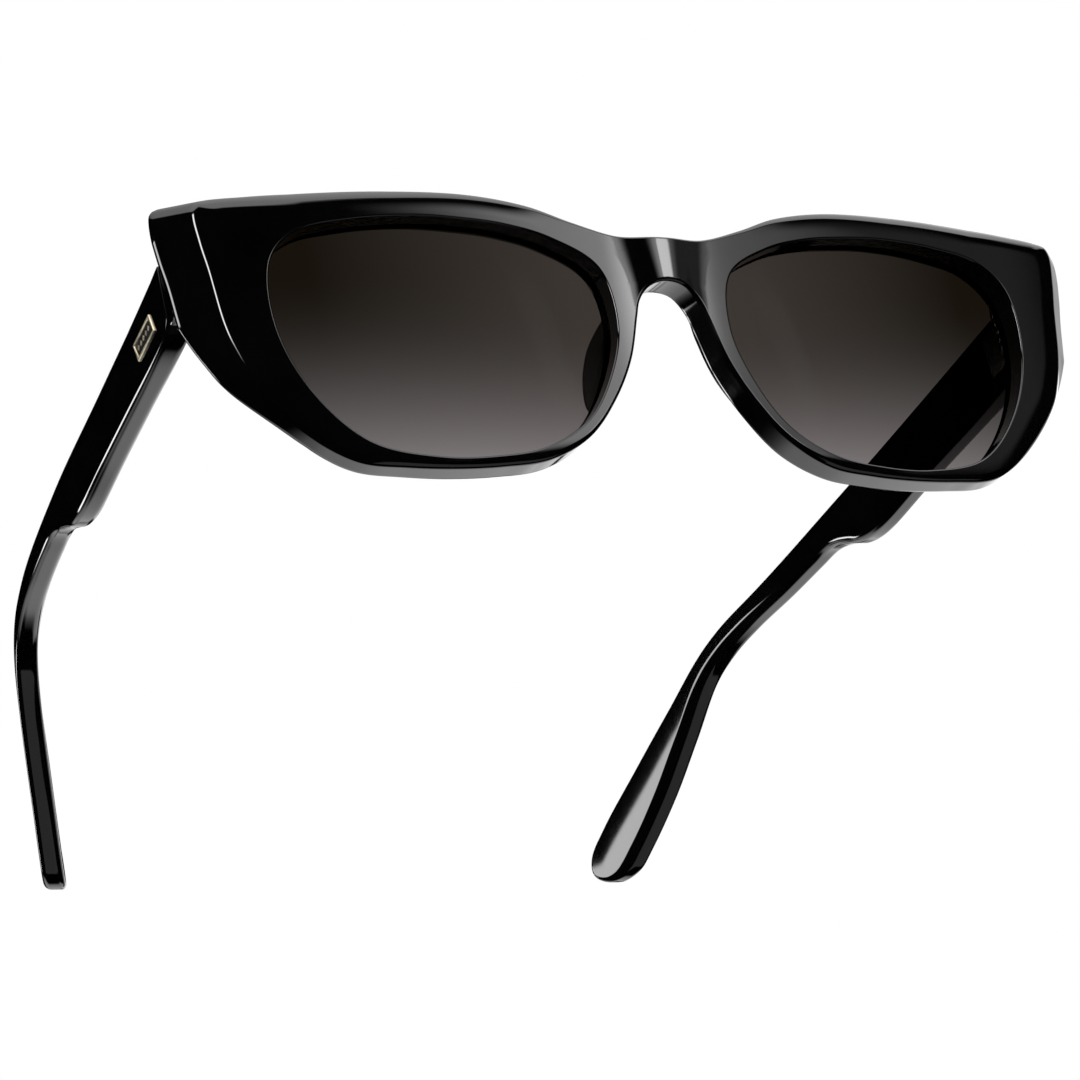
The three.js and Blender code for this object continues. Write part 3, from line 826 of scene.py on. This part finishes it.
def gold_material():
    material, n, shader = surface("emblem_gold", Metallic=1.0)
    place = n.object_place()
    wear = n.noise(place, 1500, 3)
    n.plug(shader.inputs["Base Color"], n.ramp(wear, [(0.3, (0.70, 0.60, 0.42)),
                                                      (0.7, (0.82, 0.73, 0.55))]))
    n.plug(shader.inputs["Roughness"], n.math("MULTIPLY_ADD", wear, 0.12, 0.28))
    return material


def enamel_material():
    material, n, shader = surface("emblem_enamel", IOR=1.5)
    speck = n.noise(n.object_place(), 2500, 2)
    n.plug(shader.inputs["Base Color"], n.ramp(speck, [(0.35, (0.008, 0.008, 0.008)),
                                                       (0.7, (0.016, 0.015, 0.014))]))
    n.plug(shader.inputs["Roughness"], n.math("MULTIPLY_ADD", speck, 0.08, 0.14))
    return material


ACETATE = acetate_material()
LENS = lens_material()
STEEL = steel_material()
GOLD = gold_material()
ENAMEL = enamel_material()

# ---- pieces --------------------------------------------------------------------------------

half = front_half().add(lug())
front_shell = Shell().add(half).add(half.mirrored())
build("front_polished", front_shell, "front", ACETATE, ["front_frame"])


def pair(name, shell, body, material, node=None):
    for side, part in (("left", shell), ("right", shell.mirrored())):
        rides = "front" if body == "front" else f"{side}_arm"
        build(f"{name}_{side}", part, rides, material,
              [f"{node}_{side}"] if node else [])


pair("lens_domed", lens(), "front", LENS, "lens")
pair("pad_polished", nose_pad(), "front", ACETATE, "nose_pad")
pair("temple_polished", temple(), "arm", ACETATE, "temple")
pair("emblem_lozenges", motif(), "arm", GOLD)


def eased(node, material, width):
    """A copy of a small metal part with its edges rounded off."""
    source = frame["nodes"][node]
    mesh = source.data.copy()
    mesh.name = f"{node}_eased"
    mesh.transform(source.matrix_world)
    bm = bmesh.new()
    bm.from_mesh(mesh)
    bmesh.ops.remove_doubles(bm, verts=bm.verts, dist=1e-6)
    bmesh.ops.dissolve_limit(bm, angle_limit=math.radians(1), verts=bm.verts, edges=bm.edges)
    sharp = [e for e in bm.edges if e.is_manifold and e.calc_face_angle() > math.radians(40)]
    bmesh.ops.bevel(bm, geom=sharp, offset=width / 1000, segments=3, profile=0.5,
                    affect="EDGES", clamp_overlap=True)
    bm.to_mesh(mesh)
    bm.free()
    mesh.polygons.foreach_set("use_smooth", [True] * len(mesh.polygons))
    mesh.set_sharp_from_angle(angle=math.radians(38))
    mesh.materials.clear()
    mesh.materials.append(material)
    obj = bpy.data.objects.new(f"{node}_eased", mesh)
    bpy.context.scene.collection.objects.link(obj)
    on_temple = not node.startswith(("hinge_front", "hinge_screw"))
    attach(obj, f"{node.rsplit('_', 1)[1]}_arm" if on_temple else "front")
    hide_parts(node)


for side in ("left", "right"):
    eased(f"emblem_plate_{side}", GOLD, 0.12)
    eased(f"emblem_inlay_{side}", ENAMEL, 0.05)
    eased(f"core_wire_{side}", STEEL, 0.1)
    for leaf in ("hinge_front_leaf", "hinge_temple_leaf", "hinge_screw"):
        eased(f"{leaf}_{side}", STEEL, 0.08)

# ---- studio --------------------------------------------------------------------------------


def world():
    """A white surround for the camera, and softboxes and dark screens for reflections."""
    made = bpy.data.worlds.new("studio")
    bpy.context.scene.world = made
    made.use_nodes = True
    n = Nodes(made.node_tree)
    turn = n.add("Mapping")
    turn.inputs["Rotation"].default_value = (-LEAN, 0, 0)
    n.plug(turn.inputs["Vector"], n.add("TexCoord").outputs["Generated"])
    split = n.add("SeparateXYZ")
    n.plug(split.inputs[0], turn.outputs[0])
    x, y, z = split.outputs
    to_degrees = 180 / math.pi
    az = n.product(n.math("ARCTAN2", x, n.math("MULTIPLY", y, -1.0)), to_degrees)
    el = n.product(n.math("ARCSINE", z), to_degrees)

    boxes = [n.product(n.window(az, rise, fall), level, n.window(el, low, high))
             for level, rise, fall, low, high in SOFTBOXES.values()]
    overhead = n.product(n.step(el, 38, 42), OVERHEAD_LEVEL,
                         n.ramp(n.math("MULTIPLY_ADD", y, 0.5, 0.5), OVERHEAD_PROFILE))
    behind = n.total(n.step(az, 122, 130), n.step(az, -148, -168))
    table = n.product(behind, TABLE_LEVEL, n.window(el, (-48, -38), (-17, -8)))
    studio = n.total(*boxes, overhead, table)

    path = n.add("LightPath")
    seen = n.math("MAXIMUM", path.outputs["Is Camera Ray"], path.outputs["Is Transmission Ray"])
    level = n.math("ADD", n.product(seen, 1.0),
                   n.product(n.math("SUBTRACT", 1.0, seen), studio))
    background = n.add("Background")
    background.inputs["Color"].default_value = (1, 1, 1, 1)
    n.plug(background.inputs["Strength"], level)
    out = n.add("OutputWorld")
    n.plug(out.inputs["Surface"], background.outputs[0])


def floor():
    """A pale floor that only shows from above."""
    mesh = bpy.data.meshes.new("floor")
    rim = [(3 * math.cos(a), 3 * math.sin(a), 0) for a in np.linspace(0, 2 * math.pi, 97)[:-1]]
    mesh.from_pydata(rim, [], [tuple(range(96))])
    material = bpy.data.materials.new("floor_pale")
    material.use_nodes = True
    n = Nodes(material.node_tree)
    matt = n.add("BsdfPrincipled")
    grain = n.noise(n.object_place(), 60, 3)
    n.plug(matt.inputs["Base Color"], n.ramp(grain, [(0.3, (0.80, 0.80, 0.80)),
                                                     (0.7, (0.83, 0.83, 0.83))]))
    matt.inputs["Roughness"].default_value = 0.9
    matt.inputs["Specular IOR Level"].default_value = 0.0
    clear = n.add("BsdfTransparent")
    side = n.add("NewGeometry")
    mix = n.add("MixShader")
    n.plug(mix.inputs[0], side.outputs["Backfacing"])
    n.plug(mix.inputs[1], matt.outputs[0])
    n.plug(mix.inputs[2], clear.outputs[0])
    out = n.add("OutputMaterial")
    n.plug(out.inputs["Surface"], mix.outputs[0])
    mesh.materials.append(material)
    obj = bpy.data.objects.new("floor", mesh)
    bpy.context.scene.collection.objects.link(obj)
    obj.visible_glossy = False


def camera():
    yaw, pitch, roll = (math.radians(a) for a in (CAMERA_YAW, CAMERA_PITCH, CAMERA_ROLL))
    data = bpy.data.cameras.new("view")
    data.lens, data.sensor_width = CAMERA_LENS, CAMERA_SENSOR
    data.clip_start, data.clip_end = 0.01, 20
    data.dof.use_dof = False
    obj = bpy.data.objects.new("view", data)
    bpy.context.scene.collection.objects.link(obj)
    aim = (Matrix.Rotation(-yaw, 4, "Z") @ Matrix.Rotation(math.pi / 2 + pitch, 4, "X")
           @ Matrix.Rotation(roll, 4, "Z"))
    spot = REST @ Vector(CAMERA_SPOT)
    obj.matrix_world = Matrix.Translation(spot) @ TURN @ aim
    bpy.context.scene.camera = obj


world()
floor()
camera()
view = bpy.context.scene.view_settings
view.view_transform = "Standard"
view.look = "None"
view.exposure = 0
view.gamma = 1
